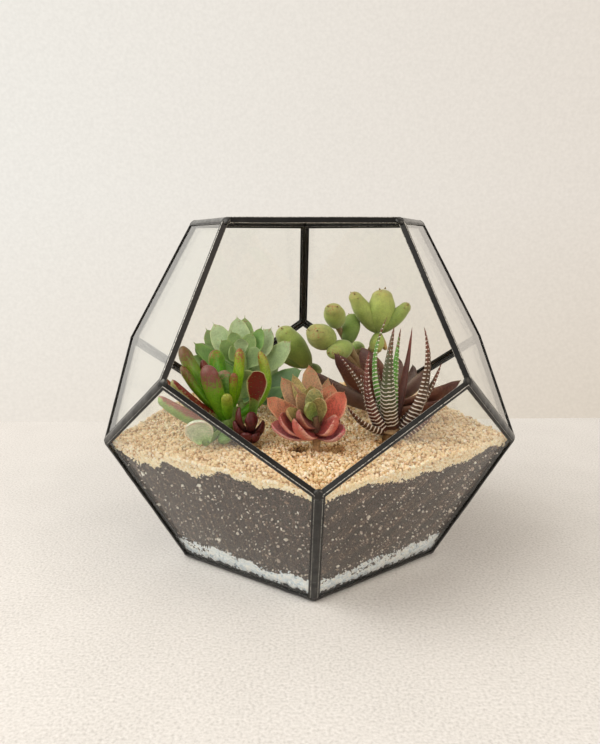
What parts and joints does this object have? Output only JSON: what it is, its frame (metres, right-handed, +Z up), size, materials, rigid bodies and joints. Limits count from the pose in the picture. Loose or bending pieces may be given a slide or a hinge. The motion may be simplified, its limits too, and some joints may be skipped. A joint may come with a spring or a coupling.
{
  "type": "glass plant terrarium",
  "caption": "Twelve-sided glass terrarium in dark soldered channels, open at the front, layered with drainage stone, soil and gravel and planted with succulents.",
  "frame": {"origin": "middle of the base, on the surface that the terrarium stands on", "axes": "+Z up; the open face looks along -Y; +X to the right seen from the front"},
  "size_m": [0.208, 0.2177, 0.1783],
  "materials": {
    "clear_glass": "clear float glass, polished",
    "channel_metal": "dark patina over rolled metal channel, satin",
    "solder": "dark patina over dressed solder, satin",
    "drainage_stone": "white grit, matt",
    "potting_soil": "dark crumbly soil with pale flecks, matt",
    "gravel": "pale tan grit, matt",
    "pale_green_leaf": "waxy pale green leaf with a soft bloom",
    "pink_leaf": "waxy leaf, pink and orange to green at the heart",
    "dark_red_leaf": "dark red fleshy leaf, satin",
    "brown_leaf": "dark red-brown leaf with a mauve bloom",
    "finger_leaf": "smooth bright green leaf with dark red tips",
    "zebra_leaf": "dark green leaf with raised white bands",
    "plump_leaf": "downy green plump leaf, matt"
  },
  "bodies": {
    "root": {"pane_bottom": "clear_glass", "pane_top": "clear_glass", "pane_lower_1": "clear_glass", "pane_lower_2": "clear_glass", "pane_lower_3": "clear_glass", "pane_lower_4": "clear_glass", "pane_lower_5": "clear_glass", "pane_upper_1": "clear_glass", "pane_upper_2": "clear_glass", "pane_upper_3": "clear_glass", "pane_upper_4": "clear_glass", "channel_bottom": "channel_metal", "channel_top": "channel_metal", "channel_lower_1": "channel_metal", "channel_lower_2": "channel_metal", "channel_lower_3": "channel_metal", "channel_lower_4": "channel_metal", "channel_lower_5": "channel_metal", "channel_upper_1": "channel_metal", "channel_upper_2": "channel_metal", "channel_upper_3": "channel_metal", "channel_upper_4": "channel_metal", "solder_seams": "solder", "drainage_layer": "drainage_stone", "soil": "potting_soil", "top_gravel": "gravel", "green_rosette": "pale_green_leaf", "pink_rosette": "pink_leaf", "red_offset": "dark_red_leaf", "dark_rosette": "brown_leaf", "finger_plant": "finger_leaf", "zebra_plant": "zebra_leaf", "plump_plant_right": "plump_leaf", "plump_plant_left": "plump_leaf"}
  },
  "joints": []
}
